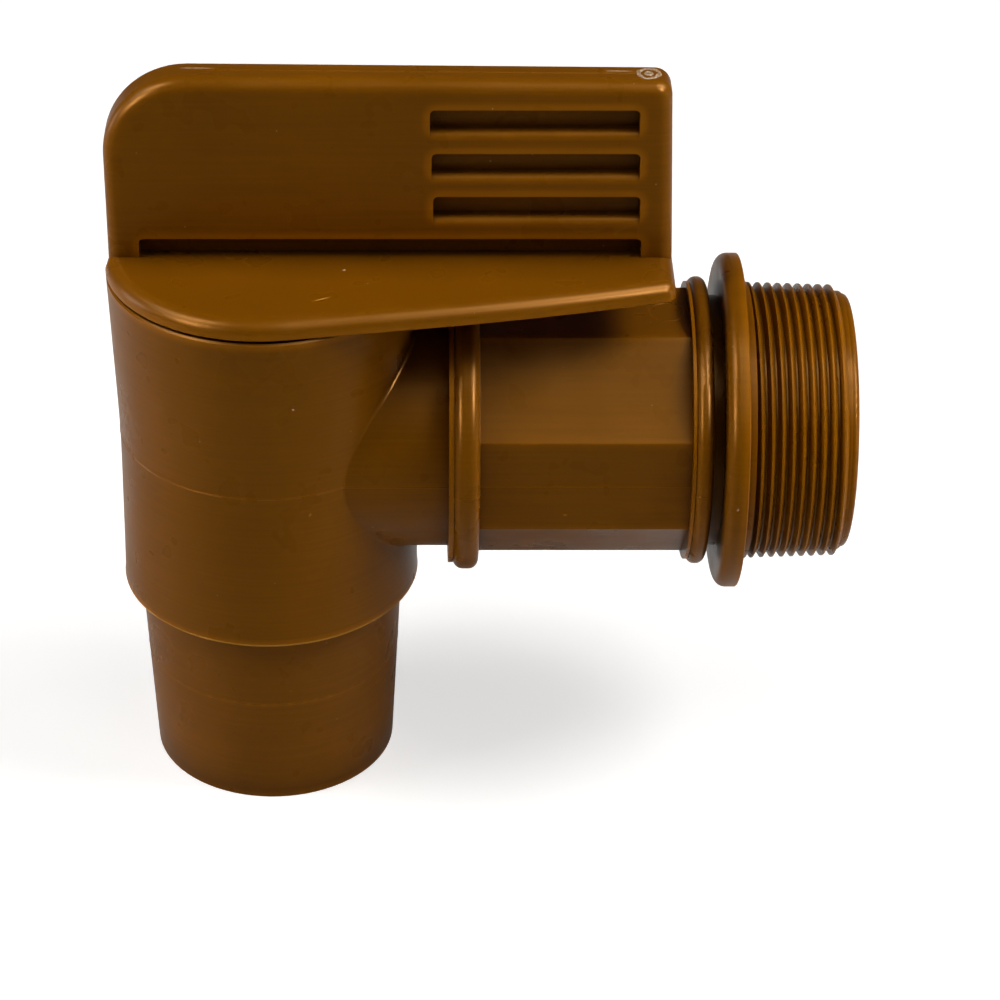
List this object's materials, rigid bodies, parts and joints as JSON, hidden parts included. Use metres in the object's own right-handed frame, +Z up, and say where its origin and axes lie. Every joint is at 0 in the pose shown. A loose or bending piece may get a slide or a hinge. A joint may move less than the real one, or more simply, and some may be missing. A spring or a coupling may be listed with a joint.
{
  "type": "drum faucet",
  "caption": "Moulded plastic tap for a drum's bung hole: threaded inlet arm, upright barrel, and a hollow turning plug with flag-shaped lever and tapered spout.",
  "frame": {"origin": "on the arm's axis, in the plane of the flange's sealing face, where the thread enters the drum", "axes": "+X along the arm's axis into the drum, +Z up along the barrel towards the handle"},
  "size_m": [0.1605, 0.0734, 0.1688],
  "materials": {
    "brown_polyethylene": "satin, as moulded",
    "black_rubber": "smooth"
  },
  "bodies": {
    "body": {"faucet_body": "brown_polyethylene"},
    "handle": {"plug_handle": "brown_polyethylene", "upper_o_ring": "black_rubber", "lower_o_ring": "black_rubber"}
  },
  "joints": [
    {"name": "plug_turn", "type": "hinge", "parent": "body", "child": "handle", "pos_m": [-0.1029, 0, 0], "axis": [0, 0, 1], "continuous": true}
  ]
}
